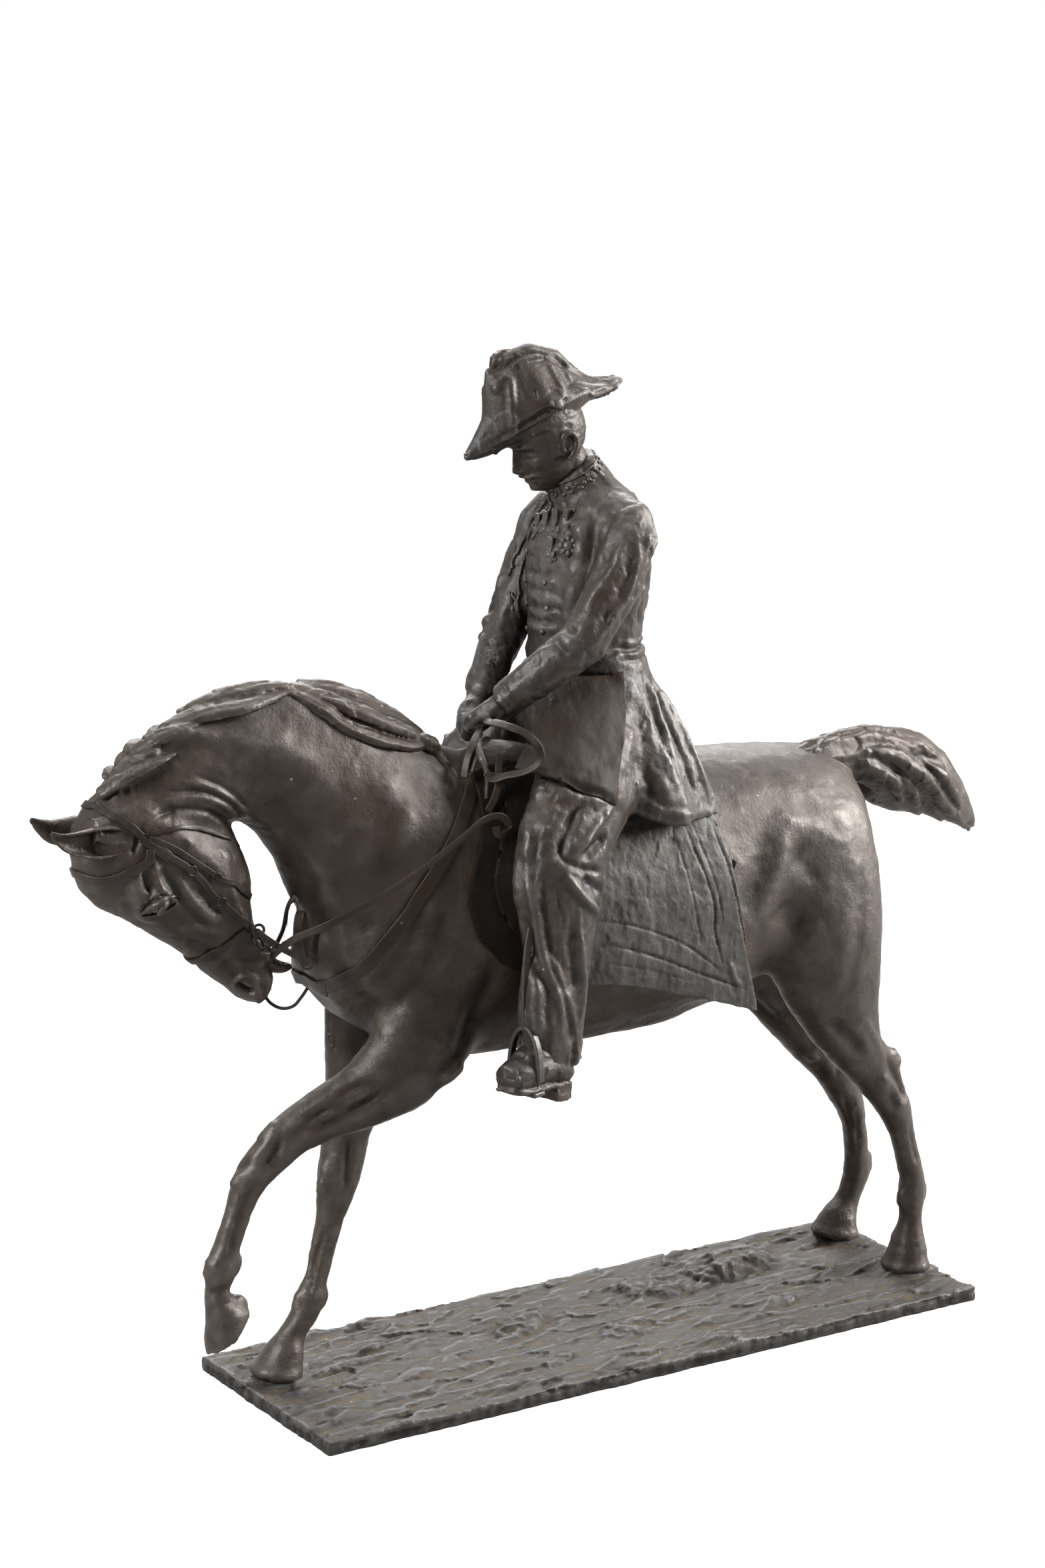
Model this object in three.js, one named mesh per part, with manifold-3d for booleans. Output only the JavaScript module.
// An equestrian statuette in bronze: a horse stepping with its head tucked in, and a rider in a
// bicorne hat looking down at the reins, both over one thin plinth with roughly modelled ground.
//
// X runs along the plinth and the horse faces -X. The horse's left side is -Y. Z is up, and the
// origin is at the middle of the plinth's underside. All lengths are millimetres.
import * as THREE from "three";
import { mergeVertices } from "three/addons/utils/BufferGeometryUtils.js";
import Module from "manifold-3d";

// Driving dimensions of the plinth.
const PLINTH_THICKNESS = 10;
const PLINTH_FRONT_MARGIN = 5;
const PLINTH_REAR_MARGIN = 2;
const PLINTH_LEFT_MARGIN = 39;
const PLINTH_RIGHT_MARGIN = 18;
const GROUND_RELIEF = 3;
const GROUND_SQUARE = 24;

// Driving dimensions of the figures and of the strip that the reins are bent from.
const WITHERS_HEIGHT = 410;
const STRAP_WIDTH = 5;
const STRAP_THICKNESS = 1.2;
const CLEARANCE = 0.3;

// The free forms are set out on a horse of this height, and taken to the height wanted.
const HEIGHT_OF_SETTING_OUT = 410;
const K = WITHERS_HEIGHT / HEIGHT_OF_SETTING_OUT;

const wasm = await Module();
wasm.setup();
const { PI, cos, sin, sign, abs, max, min, sqrt } = Math;
const radians = THREE.MathUtils.degToRad;
const ACROSS = new THREE.Vector3(0, 1, 0);

// Joins and cuts.

function solidOf(geometry) {
  geometry.deleteAttribute("normal");
  geometry.deleteAttribute("uv");
  const merged = mergeVertices(geometry, 1e-4);
  return new wasm.Manifold(
    new wasm.Mesh({
      numProp: 3,
      vertProperties: merged.attributes.position.array,
      triVerts: new Uint32Array(merged.index.array),
    }),
  );
}

const join = (solids) => solids.flat().reduce((whole, solid) => whole.add(solid));
const common = (a, b) => a.intersect(b);
const cut = (solid, tools) => tools.reduce((left, tool) => left.subtract(tool), solid);

function geometryOf(solid) {
  const { vertProperties, triVerts } = solid.getMesh();
  const geometry = new THREE.BufferGeometry();
  geometry.setAttribute("position", new THREE.BufferAttribute(vertProperties, 3));
  return geometry.setIndex(new THREE.BufferAttribute(triVerts, 1));
}

function meshOf(name, solid, material) {
  const mesh = new THREE.Mesh(geometryOf(solid).toNonIndexed(), material);
  mesh.geometry.computeVertexNormals();
  mesh.name = name;
  return mesh;
}

// Tipping turns about the line across the horse, and swinging about the upright.
const tipped = (solid, degrees) => solidOf(geometryOf(solid).rotateY(radians(degrees)));
const swung = (solid, degrees) => solidOf(geometryOf(solid).rotateZ(radians(degrees)));
const moved = (solid, [x, y, z]) => solidOf(geometryOf(solid).translate(x * K, y * K, z * K));

function mirroredAcross(solid) {
  const geometry = geometryOf(solid).scale(1, -1, 1);
  return solidOf(geometry.setIndex([...geometry.index.array].reverse()));
}

// Forms.

// A closed skin over rings of points, each ring turning from the first to the second axis of its
// section as the rings go along the third.
function skin(rings) {
  const size = rings[0].length;
  const points = rings.flat();
  const faces = [];
  const middle = (ring) => ring.reduce((a, p) => a.add(p), new THREE.Vector3()).divideScalar(size);
  const start = points.push(middle(rings[0])) - 1;
  const end = points.push(middle(rings.at(-1))) - 1;
  for (let j = 0; j < size; j++) {
    const next = (j + 1) % size;
    for (let i = 0; i < rings.length - 1; i++) {
      const [a, b, c, d] = [i * size + j, i * size + next, (i + 1) * size + j, (i + 1) * size + next];
      faces.push(a, b, c, b, d, c);
    }
    const top = (rings.length - 1) * size;
    faces.push(start, next, j, end, top + j, top + next);
  }
  const geometry = new THREE.BufferGeometry().setFromPoints(points);
  geometry.setIndex(faces);
  return solidOf(geometry);
}

const curveThrough = (triples) =>
  new THREE.CatmullRomCurve3(triples.map((t) => new THREE.Vector3(...t)), false, "catmullrom", 0.5);

// A limb, trunk or lock drawn by sections. Each row is [x, z, fore, aft, side, y]: the middle of
// a section, how far it reaches to the fore side, to the aft side and sideways, and its place
// across. The fore side is up on what runs forward and to the front on what runs down.
function flesh(rows, { sides, grow = 0, square = 1, pinch = 0, keel = 0, pleat = 0 }) {
  const spine = curveThrough(rows.map(([x, z, , , , y = 0]) => [x * K, y * K, z * K]));
  const reach = curveThrough(rows.map(([, , fore, aft, side]) => [fore * K, aft * K, side * K]));
  const count = rows.length - 1;
  const rounded = (value) => sign(value) * abs(value) ** square;
  const rings = [];
  for (let i = 0; i <= count; i++) {
    const along = spine.getTangent(i / count);
    const beyond = grow * ((i === count) - (i === 0));
    const middle = spine.getPoint(i / count).addScaledVector(along, beyond);
    const { x: fore, y: aft, z: side } = reach.getPoint(i / count);
    const sideways = ACROSS.clone().addScaledVector(along, -along.y).normalize();
    const forward = sideways.clone().cross(along);
    const ring = [];
    for (let j = 0; j < sides; j++) {
      const turn = (2 * PI * j) / sides;
      const ahead = cos(turn) > 0 ? fore + grow : aft + grow;
      const narrowed = 1 - pinch * max(0, cos(turn)) ** 2 - keel * max(0, -cos(turn)) ** 2;
      const folded = cos(turn) < 0 ? 1 + ((j % 2 ? pleat : -pleat) * i) / count : 1;
      ring.push(
        middle
          .clone()
          .addScaledVector(forward, ahead * folded * rounded(cos(turn)))
          .addScaledVector(sideways, (side + grow) * folded * narrowed * rounded(sin(turn))),
      );
    }
    rings.push(ring);
  }
  return skin(rings);
}

// A flat strip bent through points [x, y, z], its width along the given direction.
function strip(points, widthways, { width, thickness = STRAP_THICKNESS }) {
  const path = curveThrough(points.map((p) => p.map((v) => v * K)));
  const count = points.length - 1;
  const rings = [];
  for (let i = 0; i <= count; i++) {
    const middle = path.getPoint(i / count);
    const along = path.getTangent(i / count);
    const across = new THREE.Vector3(...widthways);
    across.addScaledVector(along, -along.dot(across)).normalize();
    const through = across.clone().cross(along);
    const corner = (a, b) =>
      middle.clone().addScaledVector(through, (a * thickness) / 2).addScaledVector(across, (b * width) / 2);
    rings.push([corner(1, -1), corner(1, 1), corner(-1, 1), corner(-1, -1)]);
  }
  return skin(rings);
}

const rein = (points, widthways) => strip(points, widthways, { width: STRAP_WIDTH * K });

// A slab standing across the horse, of an outline in X and Z, from one y to another.
function slab(outline, fromY = -120, toY = 120) {
  const shape = new THREE.Shape(outline.map(([x, z]) => new THREE.Vector2(x * K, z * K)));
  const geometry = new THREE.ExtrudeGeometry(shape, { depth: (toY - fromY) * K, bevelEnabled: false });
  return solidOf(geometry.rotateX(PI / 2).translate(0, toY * K, 0));
}

// An outline made larger all round by moving each point away from the middle.
function spread(outline, grow) {
  const middle = outline.reduce(([a, b], [x, z]) => [a + x / outline.length, b + z / outline.length], [0, 0]);
  return outline.map(([x, z]) => {
    const out = new THREE.Vector2(x - middle[0], z - middle[1]).normalize();
    return [x + out.x * 2 * grow, z + out.y * 2 * grow];
  });
}

// A small round boss, such as a button, facing along a direction.
function boss([x, y, z], facing, radius, height, sides = 8) {
  const geometry = new THREE.CylinderGeometry(radius * 0.8 * K, radius * K, height * K, sides);
  geometry.applyQuaternion(
    new THREE.Quaternion().setFromUnitVectors(ACROSS, new THREE.Vector3(...facing).normalize()),
  );
  return solidOf(geometry.translate(x * K, y * K, z * K));
}

function ellipsoid([x, y, z], [a, b, c], sides = 6) {
  const geometry = new THREE.SphereGeometry(1, sides, 4);
  return solidOf(geometry.scale(a * K, b * K, c * K).translate(x * K, y * K, z * K));
}

// The horse.

const BARREL = [
  [206, 318, 20, 26, 22, 8],
  [196, 322, 40, 46, 42, 8],
  [172, 322, 58, 60, 58, 8],
  [140, 320, 66, 70, 66, 8],
  [105, 312, 79, 82, 69, 7],
  [65, 300, 91, 86, 70, 5],
  [20, 292, 93, 88, 70, 3],
  [-30, 292, 98, 88, 68, 1],
  [-75, 297, 107, 92, 64, 0],
  [-112, 300, 106, 94, 60, 0],
  [-145, 300, 84, 92, 55, 0],
  [-176, 296, 60, 84, 49, 0],
  [-205, 282, 40, 62, 37, 0],
  [-221, 271, 20, 28, 20, 0],
];

const barrel = (grow = 0) => flesh(BARREL, { sides: 14, grow, square: 0.92, pinch: 0.22 });

const NECK = [
  [-120, 318, 80, 74, 50],
  [-166, 352, 78, 76, 47],
  [-192, 378, 68, 66, 41],
  [-216, 397, 62, 53, 35],
  [-243, 411, 54, 43, 30],
  [-271, 417, 48, 35, 27],
  [-298, 411, 45, 31, 25],
  [-322, 397, 41, 30, 24],
  [-338, 378, 36, 30, 22],
];

const neck = (grow = 0) => flesh(NECK, { sides: 10, grow, pinch: 0.35 });

// The mane falls to the left of the crest in locks that sweep back towards the withers.
const LOCKS = 7;
const CREST = [
  [-362, 0, 414],
  [-340, 0, 434],
  [-308, 0, 454],
  [-270, 0, 463],
  [-236, 0, 463],
  [-206, 0, 457],
  [-176, 0, 443],
  [-148, 0, 424],
  [-120, 0, 408],
];

function mane() {
  const ridge = flesh(CREST.map(([x, , z]) => [x, z - 5, 6, 8, 7]).reverse(), { sides: 6 });
  const crest = curveThrough(CREST);
  const locks = [];
  for (let i = 0; i < LOCKS; i++) {
    const root = crest.getPoint((i + 0.2) / LOCKS);
    const along = crest.getTangent((i + 0.2) / LOCKS);
    const length = 34 + 10 * sin(i * 2.1);
    const hang = 0.34 + 0.16 * sin(i * 1.3);
    const rows = [0, 0.5, 1].map((t) => {
      const x = root.x + along.x * length * t;
      const z = root.z - 3 + along.z * length * t - hang * length * t * t;
      const swell = 1 - 0.85 * t ** 2;
      return [x, z, 7 * swell, 6 * swell, 4 * swell, -8 - 12 * t * hang * 2];
    });
    locks.push(flesh(rows, { sides: 4 }));
  }
  return [ridge, ...locks];
}

// The head in its own frame: x runs down the face from the forehead and z from the line of the
// face to the jaw. It is tipped until the face looks down and back.
const HEAD_TIP = 39.5;
const FOREHEAD = [-388, 0, 361.5];
const HEAD = [
  [-8, 36, 24, 24, 21],
  [8, 38, 41, 40, 27],
  [28, 41, 46, 49, 30],
  [46, 41, 43, 49, 30],
  [70, 40, 40, 44, 27],
  [90, 36, 36, 37, 23],
  [108, 29, 28, 26, 19],
  [126, 22, 22, 19, 16],
  [142, 17.5, 17, 16, 16],
  [153, 15.5, 15, 14, 16],
  [159, 15, 10, 10, 12],
].map(([x, z, fore, aft, side]) => [x, z, fore, aft, side, 0]);

const skull = (grow = 0) => flesh(HEAD, { sides: 10, grow, square: 0.88, pinch: 0.25, keel: 0.35 });

function bridleBand(from, to, tip, grow) {
  const box = solidOf(new THREE.BoxGeometry((to - from) * K, 90 * K, 120 * K));
  return common(skull(grow), moved(tipped(box, tip), [(from + to) / 2, 0, 40]));
}

function head() {
  const eyes = [-1, 1].map((side) => ellipsoid([44, side * 25, 18], [9, 6, 7.5]));
  const cheeks = [-1, 1].map((side) => ellipsoid([68, side * 18, 50], [23, 9, 23], 7));
  const nostrils = [-1, 1].map((side) => ellipsoid([152, side * 12, 9], [8, 5, 6.5]));
  const noseband = bridleBand(108, 112, -8, 1.4);
  const browband = bridleBand(24, 28, 18, 1.4);
  const cheekStraps = [-1, 1].map((side) =>
    strip(
      [[8, side * 24, 58], [40, side * 28.5, 58], [80, side * 25.5, 54], [136, side * 15, 30]],
      [0.2, 0, 1],
      { thickness: 3 * K, width: 4 * K },
    ),
  );
  const rings = [-1, 1].map((side) => boss([138, side * 15.5, 28], [0, side, 0], 5.5, 5, 6));
  const whole = join([skull(), eyes, cheeks, nostrils, noseband, browband, cheekStraps, rings]);
  return moved(tipped(whole, HEAD_TIP), FOREHEAD);
}

// The right ear lies a little further back and lower than the left.
const EARS_APART = 34;
const RIGHT_EAR_BACK = [8, -8];

function ear(side) {
  const [back, low] = side > 0 ? RIGHT_EAR_BACK : [0, 0];
  const rows = [
    [-352, 386, 8, 9, 8],
    [-366, 391, 8.5, 9, 8],
    [-380, 393, 7, 8, 6.5],
    [-394, 392, 4.5, 5, 4],
    [-407, 391, 1, 1, 1],
  ];
  return flesh(rows.map(([x, z, ...reach]) => [x + back, z + low, ...reach, (side * EARS_APART) / 2]), { sides: 6 });
}

const HOOF_SIDES = 8;

const RIGHT_FORE = [
  [-140, 262, 48, 40, 24, 28],
  [-152, 232, 44, 34, 24, 33],
  [-160, 205, 34, 28, 21, 35],
  [-169, 180, 24, 21, 17, 35],
  [-177, 156, 17.5, 17, 15, 34],
  [-184.5, 125, 15.5, 15, 14.5, 32],
  [-189, 112, 12.5, 12.5, 12, 31],
  [-193, 98, 10, 10, 9.5, 30],
  [-204, 63, 8.5, 9, 8.5, 29],
  [-210, 48, 10, 12, 10.5, 28],
  [-215, 38, 9, 11, 9.5, 28],
  [-223, 28, 9, 9, 9, 27],
  [-228, 17, 12, 11, 12, 27],
];
const RIGHT_FORE_HOOF = [
  [-226, 22, 13, 11, 12.5, 27],
  [-231, 11, 16, 14, 15.5, 27],
  [-235, 0, 20, 16, 17.5, 27],
];

const LEFT_FORE = [
  [-140, 262, 46, 42, 22, -30],
  [-155, 234, 46, 34, 23, -34],
  [-176, 211, 36, 28, 21, -34],
  [-204, 199, 24, 22, 17, -30],
  [-230, 191, 18.5, 18, 15, -26],
  [-251, 181, 15.5, 15.5, 14, -23],
  [-277, 157, 12.5, 12.5, 12, -20],
  [-283, 145, 9.5, 10, 9.5, -20],
  [-294.5, 115, 8.5, 9, 8.5, -20],
  [-298.5, 104, 11, 12, 10.5, -20],
  [-300, 95, 10, 10.5, 9.5, -20],
  [-303, 86, 7.5, 8, 8, -20],
  [-300, 72, 9, 12, 11, -20],
];
const LEFT_FORE_HOOF = [
  [-300, 80, 10, 14, 11, -20],
  [-297, 68, 12.5, 19, 14, -20],
  [-295, 54, 15.5, 21, 16.5, -20],
  [-295, 40, 17, 22, 16.5, -20],
];
const RAISED_SOLE = [[-340, 24], [-312, 43], [-272, 74], [-262, 120], [-340, 120]];

const LEFT_HIND = [
  [148, 345, 46, 46, 24, -28],
  [150, 305, 50, 52, 28, -34],
  [154, 265, 50, 50, 30, -38],
  [164, 228, 44, 40, 26, -38],
  [178, 192, 30, 27, 20, -35],
  [192, 168, 21, 20, 15, -32],
  [207, 150, 17, 20, 13, -30],
  [228.5, 118, 12.5, 13, 11.5, -28],
  [234, 102, 9.5, 9.5, 9.5, -28],
  [243, 70, 9, 10, 9.5, -29],
  [243.5, 58, 11, 12, 10.5, -29],
  [242.5, 38, 8, 8.5, 8.5, -30],
  [241.5, 22, 12, 11, 12, -30],
];
const LEFT_HIND_HOOF = [
  [242, 27, 12, 11, 12, -30],
  [241, 15, 15, 14, 15, -30],
  [240, 0, 18, 16.5, 17, -30],
];

const RIGHT_HIND = [
  [152, 345, 46, 42, 24, 44],
  [158, 300, 50, 46, 28, 50],
  [164, 258, 50, 46, 30, 54],
  [180, 215, 40, 36, 25, 54],
  [199, 178, 28, 26, 19, 52],
  [216, 150, 20, 19, 15, 50],
  [231, 130, 15.5, 17, 13, 49],
  [248, 99, 12, 12, 11, 49],
  [252.5, 84, 9.5, 10, 9.5, 50],
  [257, 58, 9.5, 10, 9.5, 52],
  [258, 46, 10.5, 12, 10.5, 52],
  [250, 27, 9, 9.5, 9.5, 52],
  [244, 16, 12, 11, 12, 52],
];
const RIGHT_HIND_HOOF = [
  [246, 21, 13, 11, 12.5, 52],
  [242, 11, 16, 14, 15.5, 52],
  [239, 0, 19, 17, 17.5, 52],
];

const leg = (rows) => flesh(rows, { sides: 8 });
const hoof = (rows) => flesh(rows, { sides: HOOF_SIDES });

// A standing hoof is cut level at the ground, which is at z = 0 of the figures' own frame.
const STANDING_HOOVES = [RIGHT_FORE_HOOF, LEFT_HIND_HOOF, RIGHT_HIND_HOOF];
const aboveGround = slab([[-450, 0], [450, 0], [450, 700], [-450, 700]], -200, 200);

const TAIL = [
  [168, 362, 17, 22, 16, 8],
  [190, 370, 14, 16, 13, 8],
  [212, 373, 13, 17, 13, 9],
  [238, 362, 25, 33, 16, 11],
  [262, 350, 31, 32, 17, 13],
  [285, 338, 27, 24, 16, 15],
  [306, 322, 17, 15, 12, 16],
  [320, 309, 10, 9, 8, 17],
  [332, 298, 2, 2, 2, 18],
];

function tail() {
  const dock = flesh(TAIL.map(([x, z, top, under, side, y]) => [x, z, under, top, side, y]), {
    sides: 8,
  });
  const locks = [0, 1, 2, 3].map((i) => {
    const x = 230 + 21 * i;
    const z = 349 - 8.5 * i;
    const drop = 22 - 1.5 * i;
    return flesh(
      [
        [x, z, 7, 7, 9, 8 + i],
        [x + 12, z - drop * 0.6, 6, 6, 7, 5 + i],
        [x + 22, z - drop * 1.25, 1.5, 1.5, 2, 6 + i],
      ],
      { sides: 4 },
    );
  });
  return [dock, ...locks];
}

// Saddlery: cloth, flaps and seat over the barrel, and a breast strap round the chest.

// The cloth lies on the barrel and hangs straight down from its widest part.
const CLOTH_DROP = [
  [100, 296, 60, 112, 67, 6],
  [60, 294, 60, 112, 69, 5],
  [20, 292, 60, 112, 69, 3],
  [-30, 292, 60, 112, 67, 1],
  [-80, 297, 60, 116, 63, 0],
];
const CLOTH_THICKNESS = 2.6;
const CLOTH_OUTLINE = [[-66, 420], [-72, 262], [-31, 256], [84, 219], [71, 265], [57, 330], [50, 420]];
const clothDrop = (grow = 0) => flesh(CLOTH_DROP, { sides: 10, grow, square: 0.86 });

function saddlecloth(grow = 0) {
  const hanging = cut(clothDrop(CLOTH_THICKNESS + grow), [clothDrop()]);
  return common(barrel(CLOTH_THICKNESS + grow).add(hanging), slab(spread(CLOTH_OUTLINE, grow)));
}

const FLAP_OUTLINE = [
  [-120, 397], [-134, 372], [-140, 345], [-137, 318], [-126, 296], [-109, 283], [-90, 280], [-74, 288], [-62, 396],
];
const FLAP_THICKNESS = 4.4;
const flaps = (grow = 0) => common(barrel(FLAP_THICKNESS + grow), slab(spread(FLAP_OUTLINE, grow)));

const SEAT = [
  [46, 384, 10, 8, 20, 3],
  [34, 388, 19, 12, 32, 3],
  [4, 386, 15, 12, 38, 3],
  [-34, 386, 14, 12, 35, 2],
  [-64, 391, 16, 12, 27, 1],
  [-88, 397, 19, 14, 18, 0],
  [-104, 396, 15, 14, 12, 0],
];
const seat = (grow = 0) => flesh(SEAT, { sides: 8, grow });

const BREAST_STRAP = [[-118, 392], [-164, 336], [-214, 276], [-232, 268]];
const BREAST_STRAP_WIDTH = 9;

function breastStrap(grow = 0) {
  const upper = BREAST_STRAP;
  const lower = upper.map(([x, z]) => [x + 2, z - BREAST_STRAP_WIDTH]).reverse();
  return common(barrel(1.6 + grow), slab([...upper, ...lower]));
}

// Stubs of the other reins stand loose between the jaw and the chest.
const CURB_REIN = [
  [-262, -10, 292], [-251, -17, 301], [-248, -20, 316], [-248, -22, 332], [-244, -22, 338],
  [-241, -23, 333], [-243, -24, 314], [-240, -26, 299],
];
const RIGHT_REIN = [[-226, -4, 338], [-239, -4, 324], [-243, -4, 308], [-254, -6, 292]];
const stubs = () => [rein(CURB_REIN, [0.2, 1, 0]), rein(RIGHT_REIN, [0, 1, 0])];

// What the rider sits on, with enough grown on that flat faces still leave the gap between castings.
const underRider = () => [barrel, saddlecloth, flaps, seat, neck].map((piece) => piece(CLEARANCE * 1.5));

function horse() {
  const legs = [RIGHT_FORE, LEFT_FORE, LEFT_HIND, RIGHT_HIND].map(leg);
  const standing = STANDING_HOOVES.map((rows) => common(hoof(rows), aboveGround));
  const raised = common(hoof(LEFT_FORE_HOOF), slab(RAISED_SOLE));
  return join([
    barrel(), neck(), mane(), head(), ear(-1), ear(1), legs, standing, raised, tail(),
    saddlecloth(), flaps(), seat(), breastStrap(), stubs(),
  ]);
}

// The rider.

const TORSO = [
  [-15, 586, 13, 13, 14, 5],
  [-12, 572, 19, 18, 24, 4],
  [-10, 562, 25, 27, 37, 3],
  [-10, 548, 31, 33, 46, 2],
  [-11, 520, 36.5, 36, 46, 2],
  [-13, 472, 36, 34, 38, 2],
  [-11, 446, 35, 36, 41, 2],
  [-6, 420, 36, 34, 44, 2],
  [-4, 398, 36, 34, 42, 2],
];
const torso = (grow = 0) => flesh(TORSO, { sides: 10, grow, square: 0.94 });

const SKIRTS = [
  [-12, 460, 37, 36, 39, 2],
  [-10, 446, 40, 37, 45, 2],
  [-5, 420, 49, 44, 55, 2],
  [1, 394, 53, 53, 66, 2],
  [5, 366, 54, 63, 73, 2],
  [5, 348, 54, 68, 75, 2],
];
const HEM = [[-140, 470], [-140, 393], [-96, 389], [-60, 384], [-35, 377], [4, 358], [66, 354], [100, 352], [100, 470]];

// The back of the skirts hangs in pleats that deepen towards the hem.
const PLEAT_DEPTH = 0.07;
const FACES_ROUND_SKIRTS = 18;
const skirts = () => flesh(SKIRTS, { sides: FACES_ROUND_SKIRTS, pleat: PLEAT_DEPTH });

const LEFT_LEG = [
  [0, 416, 34, 34, 24, -20],
  [-24, 402, 38, 36, 25, -38],
  [-52, 380, 38, 35, 23, -56],
  [-74, 354, 37, 33, 21.5, -68],
  [-82, 328, 34.5, 31, 19, -73],
  [-82, 300, 28, 24, 17, -75],
  [-82, 270, 21, 20, 16, -76],
  [-81, 243, 16.5, 15, 14, -76],
  [-80, 212, 12, 10, 11.5, -76],
];

const BOOT = [
  [14, 5, 7, 5, 7, 0],
  [6, 8, 12, 8, 9, 0],
  [-8, 8, 14, 8, 10, 0],
  [-24, 7, 11, 7, 11, 0],
  [-40, 6, 8, 6, 11, 0],
  [-52, 5, 4, 5, 7, 0],
];
const TOE_OUT = 16;
const LEFT_ANKLE = [-80, -76, 205];
const STIRRUP_HEIGHT = 28;
const STIRRUP_HALF_WIDTH = 13;
const STIRRUP_BAR = 3.4;
const ARCH_STEPS = 5;

function bootInStirrup() {
  const boot = flesh(BOOT, { sides: 6 });
  const arch = [];
  for (let i = 0; i <= ARCH_STEPS; i++) {
    const turn = (PI * i) / ARCH_STEPS;
    arch.push([-34, -STIRRUP_HALF_WIDTH * cos(turn), STIRRUP_HEIGHT * sin(turn) ** 0.8 - 1]);
  }
  const iron = strip(arch, [1, 0, 0], { width: STIRRUP_BAR * 1.5 * K, thickness: STIRRUP_BAR * 0.8 * K });
  const tread = strip(
    [[-34, -STIRRUP_HALF_WIDTH, -0.5], [-34, STIRRUP_HALF_WIDTH, -0.5]],
    [1, 0, 0],
    { width: STIRRUP_BAR * 3 * K, thickness: STIRRUP_BAR * K },
  );
  return moved(swung(join([boot, iron, tread]), TOE_OUT), LEFT_ANKLE);
}

const LEATHER = [[-102, -81, 306], [-109, -83, 270], [-112.5, -85.5, 233]];

function leftLeg() {
  const limb = flesh(LEFT_LEG, { sides: 9 });
  const coat = common(flesh(LEFT_LEG.slice(0, 5), { sides: 9, grow: 2 }), slab(HEM));
  const leather = strip(LEATHER, [1, 0, 0], { width: 5 * K, thickness: 5 * K });
  return [limb, coat, bootInStirrup(), leather];
}

const LEFT_ARM = [
  [-8, 562, 9, 9, 9, -24],
  [-3, 556, 17, 15, 13, -34],
  [-6, 542, 20, 19, 17, -41],
  [-22, 515, 18, 17, 16, -47],
  [-49, 480, 15.5, 17, 15, -49],
  [-65, 466, 14.5, 15, 14.5, -41],
  [-80, 452, 13, 13, 13, -31],
  [-91, 441, 11.5, 11.5, 11.5, -22],
];
const RIGHT_ARM = [
  [-10, 562, 9, 9, 9, 28],
  [-10, 556, 17, 15, 13, 38],
  [-14, 542, 21, 18, 17, 45],
  [-25, 514, 18, 17, 16, 49],
  [-44, 477, 15, 16, 14.5, 49],
  [-57, 461, 14, 14.5, 13.5, 42],
  [-69, 447, 12.5, 12.5, 12.5, 33],
  [-79, 436, 11, 11, 11, 26],
];
const LEFT_HAND = [
  [-88, 443, 8, 8, 8, -24],
  [-97, 434, 9, 9, 8, -15],
  [-102, 427, 8.5, 9, 8, -6],
  [-103, 422, 5, 6, 5, 1],
];
const RIGHT_HAND = [
  [-78, 436, 8, 8, 8, 28],
  [-90, 427, 9, 9, 9, 18],
  [-98, 420, 9, 9, 8, 9],
  [-102, 416, 5, 6, 5, 3],
];

// Of the reins, one loop and one loose end come out of the left hand.
const REIN_LOOP = [
  [-98, -12, 430], [-107, -32, 432], [-102, -48, 432], [-93, -55, 426], [-86, -60, 416],
  [-88, -61, 408], [-96, -55, 403], [-105, -48, 400], [-116, -43, 401],
];
const REIN_END = [[-99, -9, 426], [-112, -25, 420], [-118, -38, 412], [-116, -43, 402], [-118, -44, 384]];
const heldReins = () => [rein(REIN_LOOP, [0.3, -1, 0.2]), rein(REIN_END, [0.4, -1, 0])];

// The head is built upright round the middle of the skull, then bowed.
const BOW = 34;
const HEAD_PLACE = [-44, 6, 606];
const RIDER_NECK = [[-29, 606, 14, 14, 14, 6], [-22, 590, 14, 14, 14, 6], [-16, 572, 15, 15, 16, 5]];
const RIDER_HEAD = [
  [3, 28, 6, 6, 6],
  [1, 25, 16, 17, 14],
  [0, 14, 23, 25, 19.5],
  [0, 2, 23, 26, 20],
  [-2, -10, 22, 21, 17.5],
  [-5, -20, 18, 12, 14],
  [-8, -27, 13, 7, 10],
  [-10, -30, 7, 3, 6],
].map((row) => [...row, 0]);

function riderHead() {
  const face = flesh(RIDER_HEAD, { sides: 9 });
  const nose = flesh([[-21, 1, 2, 3, 2.2, 0], [-24, -6, 2.4, 3, 2.6, 0], [-24, -11.5, 3.4, 3, 4, 0], [-21, -14, 1, 3, 2.4, 0]], {
    sides: 4,
  });
  const lips = ellipsoid([-20.5, 0, -18.5], [3.4, 5.2, 2.2], 5);
  const ears = [-1, 1].map((side) => ellipsoid([4, side * 19.6, -3], [4, 2.2, 7], 5));
  const bowed = moved(tipped(join([face, nose, lips, ears]), -BOW), HEAD_PLACE);
  return bowed.add(flesh(RIDER_NECK, { sides: 8 }));
}

const COLLAR = [
  [-25, 593, 18, 17, 17.5, 6],
  [-22, 582, 19, 18, 18.5, 5],
  [-17, 569, 21, 21, 21, 4],
];

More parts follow.
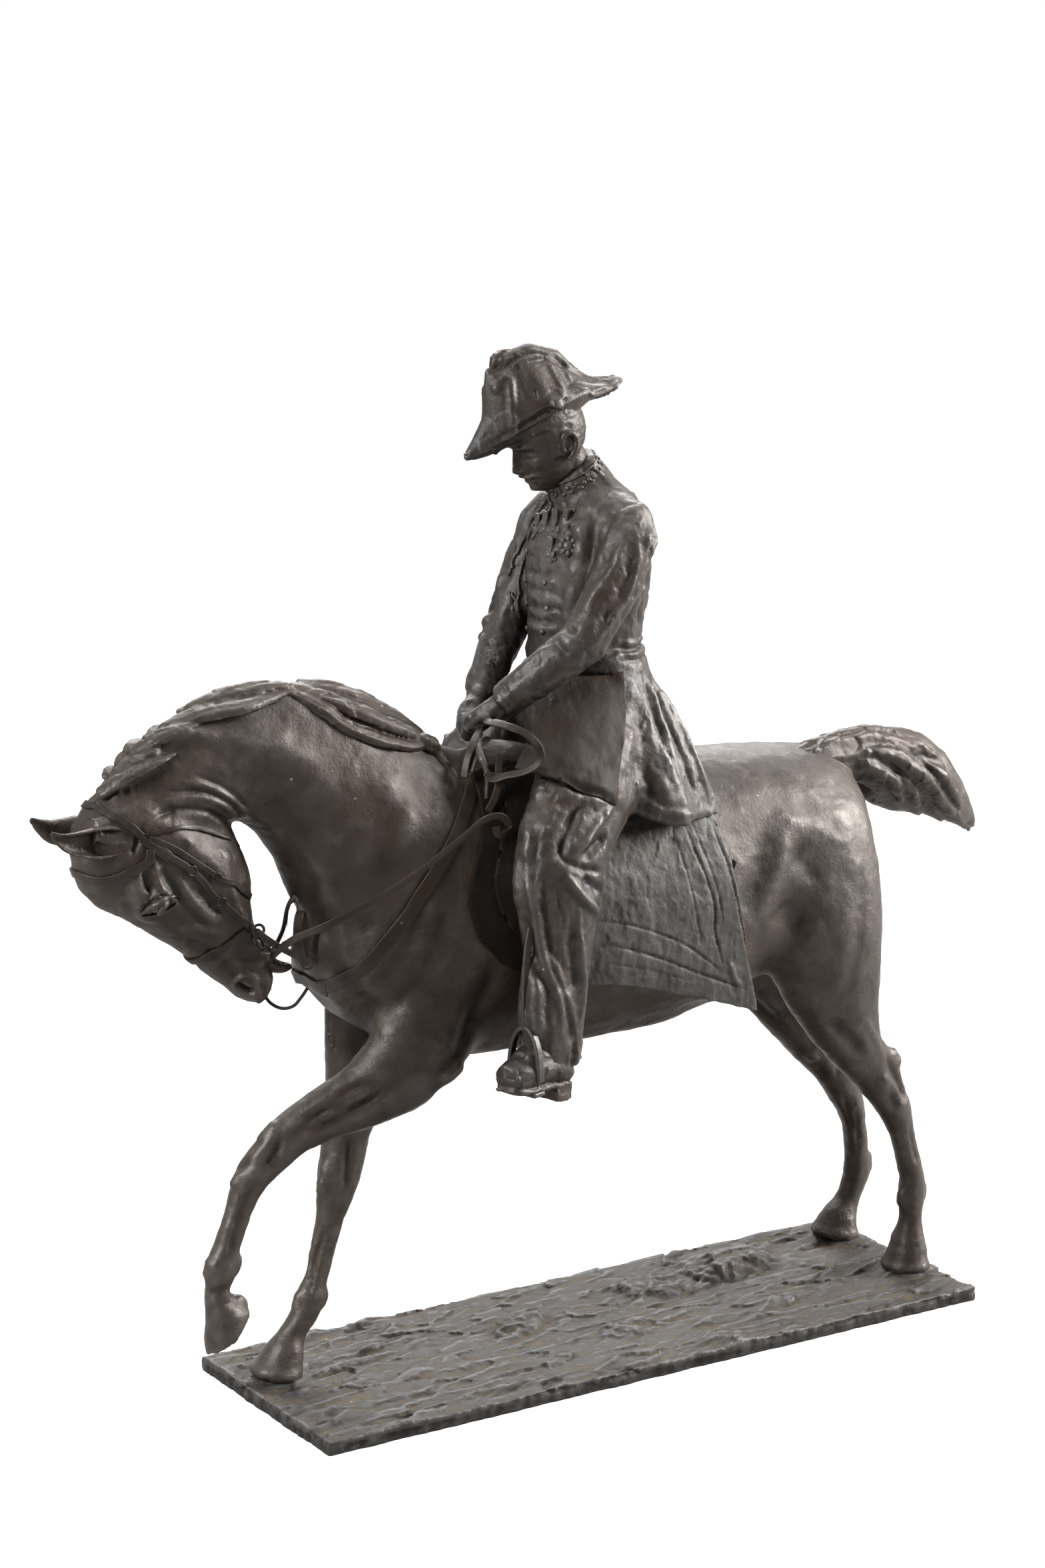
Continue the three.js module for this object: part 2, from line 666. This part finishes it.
// A bicorne worn fore and aft: tall leaves over the crown, and a point before and behind.
const HAT = [
  [17, 638, 1.5, 1.5, 2.5],
  [5, 636, 5, 6, 8],
  [-9, 634, 8, 6.5, 14],
  [-23, 633, 13, 12, 19],
  [-38, 632, 27, 25, 22],
  [-53, 629, 33, 27, 23],
  [-68, 623, 33, 24, 19],
  [-79, 611, 13, 16, 13],
  [-91, 601, 7.5, 8, 7],
  [-102, 594, 1.5, 1.5, 2],
].map((row) => [...row, 6]);
const PLUME = [
  [8, 637, 3.5, 4, 3],
  [-8, 637, 4, 4, 4],
  [-22, 644, 4.5, 5, 5],
  [-36, 656, 4.5, 6, 5],
  [-55, 661, 4.5, 6, 5],
  [-75, 656, 4.5, 6, 5],
  [-79, 642, 4, 5, 4],
  [-75, 626, 3, 5, 4],
].map((row) => [...row, 6]);

const hat = () => [
  flesh(HAT, { sides: 8, pinch: 0.72 }),
  flesh(PLUME, { sides: 5 }),
  boss([-48, -17, 628], [0, -1, 0.3], 5, 6, 6),
];

// Buttons stand in two rows down the tunic, and a group of medals hangs on the left breast.
const BUTTONS_IN_A_ROW = 4;
const BUTTON_RADIUS = 2;
const BUTTON_STEP = 20;
const TOP_BUTTON_DROP = 33;
const MEDAL_RADIUS = 4.6;
const MEDALS = [[-14, 37], [-25, 40], [-27, 52], [-16, 49]];

// Where the tunic's front is at a place across and a drop below its neck.
function tunicFront(y, drop) {
  const z = TORSO[0][1] - drop;
  const above = TORSO.findLast((row) => row[1] >= z);
  const below = TORSO.find((row) => row[1] < z);
  const share = (z - below[1]) / (above[1] - below[1]);
  const [x, , fore, , side, middle] = below.map((value, i) => value + (above[i] - value) * share);
  return [x - fore * sqrt(1 - ((y - middle) / side) ** 2), y, z];
}

const onTunic = (y, drop, radius) => boss(tunicFront(y, drop), [-1, y / 40, 0], radius, 5, 5);
const medals = () => MEDALS.map(([y, drop]) => onTunic(y, drop, MEDAL_RADIUS));

function buttons() {
  const all = [];
  for (let i = 0; i < BUTTONS_IN_A_ROW; i++) {
    const drop = TOP_BUTTON_DROP + BUTTON_STEP * i;
    all.push(onTunic(-10, drop, BUTTON_RADIUS), onTunic(16, drop, BUTTON_RADIUS));
  }
  return all;
}

function rider() {
  const belt = common(torso(2.4), slab([[-90, 458], [90, 455], [90, 466], [-90, 469]]));
  const arms = [LEFT_ARM, RIGHT_ARM].map((rows) => flesh(rows, { sides: 8 }));
  const hands = [LEFT_HAND, RIGHT_HAND].map((rows) => flesh(rows, { sides: 6 }));
  const legs = [leftLeg(), leftLeg().map(mirroredAcross)];
  const whole = join([
    torso(), belt, common(skirts(), slab(HEM)), arms, hands, legs.flat(), riderHead(), flesh(COLLAR, { sides: 9 }), hat(),
    buttons(), medals(), heldReins(),
  ]);
  return cut(whole, underRider());
}

// The plinth: a thin plate whose top is ridged ground, level under the hooves.

const stance = STANDING_HOOVES.map((rows) => rows.at(-1)).map(([x, , fore, aft, side, y]) => ({
  front: (x - fore) * K,
  rear: (x + aft) * K,
  left: (y - side) * K,
  right: (y + side) * K,
}));
const EDGES = {
  front: min(...stance.map((s) => s.front)) - PLINTH_FRONT_MARGIN,
  rear: max(...stance.map((s) => s.rear)) + PLINTH_REAR_MARGIN,
  left: min(...stance.map((s) => s.left)) - PLINTH_LEFT_MARGIN,
  right: max(...stance.map((s) => s.right)) + PLINTH_RIGHT_MARGIN,
};

function ground(x, y) {
  const ridges = 0.55 * sin(x / 17 + y / 11) + 0.3 * sin(x / 9 - y / 23) + 0.25 * sin((x + y) / 31);
  const clods = max(0, cos((x - 30) / 52)) * max(0, cos((y + 15) / 40));
  const level = min(
    1,
    ...stance.map(({ front, rear, left, right }) => {
      const outX = max(front - x, x - rear, 0);
      const outY = max(left - y, y - right, 0);
      return max(0, sqrt(outX ** 2 + outY ** 2) / GROUND_SQUARE - 1);
    }),
    ...[x - EDGES.front, EDGES.rear - x, y - EDGES.left, EDGES.right - y].map((inside) => inside / GROUND_SQUARE),
  );
  return max(-0.6, ridges + clods) * level * GROUND_RELIEF;
}

function plinth() {
  const { front, rear, left, right } = EDGES;
  const countX = Math.round((rear - front) / GROUND_SQUARE);
  const countY = Math.round((right - left) / GROUND_SQUARE);
  const rings = [];
  for (let i = 0; i <= countX; i++) {
    const x = front + ((rear - front) * i) / countX;
    const ring = [new THREE.Vector3(x, left, 0), new THREE.Vector3(x, right, 0)];
    for (let j = 0; j <= countY; j++) {
      const y = right - ((right - left) * j) / countY;
      ring.push(new THREE.Vector3(x, y, PLINTH_THICKNESS + ground(x, y)));
    }
    rings.push(ring);
  }
  return skin(rings);
}

// The left rein is broken off behind and ends in a curl.
const LEFT_REIN = [
  [-262, -20.4, 294], [-259, -21, 300], [-250, -36, 312], [-236, -53, 322], [-208, -62, 336], [-176, -61, 350],
  [-146, -62, 368], [-128, -62, 378], [-118, -62, 378], [-113, -62, 371], [-118, -62, 366],
];

const BRONZE = { metalness: 0.75, roughness: 0.5 };
const figures = new THREE.Group();
figures.add(
  meshOf("horse", horse(), new THREE.MeshStandardMaterial({ color: 0x3a322c, ...BRONZE })),
  meshOf("rider", rider(), new THREE.MeshStandardMaterial({ color: 0x37332f, ...BRONZE })),
  meshOf("left_rein", rein(LEFT_REIN, [0.3, -0.25, 1]), new THREE.MeshStandardMaterial({ color: 0x4a4038, ...BRONZE })),
);
figures.position.z = PLINTH_THICKNESS + CLEARANCE;

const base = new THREE.MeshStandardMaterial({ color: 0x3d372f, metalness: 0.7, roughness: 0.6 });
const statuette = new THREE.Group();
statuette.add(figures, meshOf("plinth", plinth(), base));
statuette.position.set(-(EDGES.front + EDGES.rear) / 2, -(EDGES.left + EDGES.right) / 2, 0);

export default statuette;
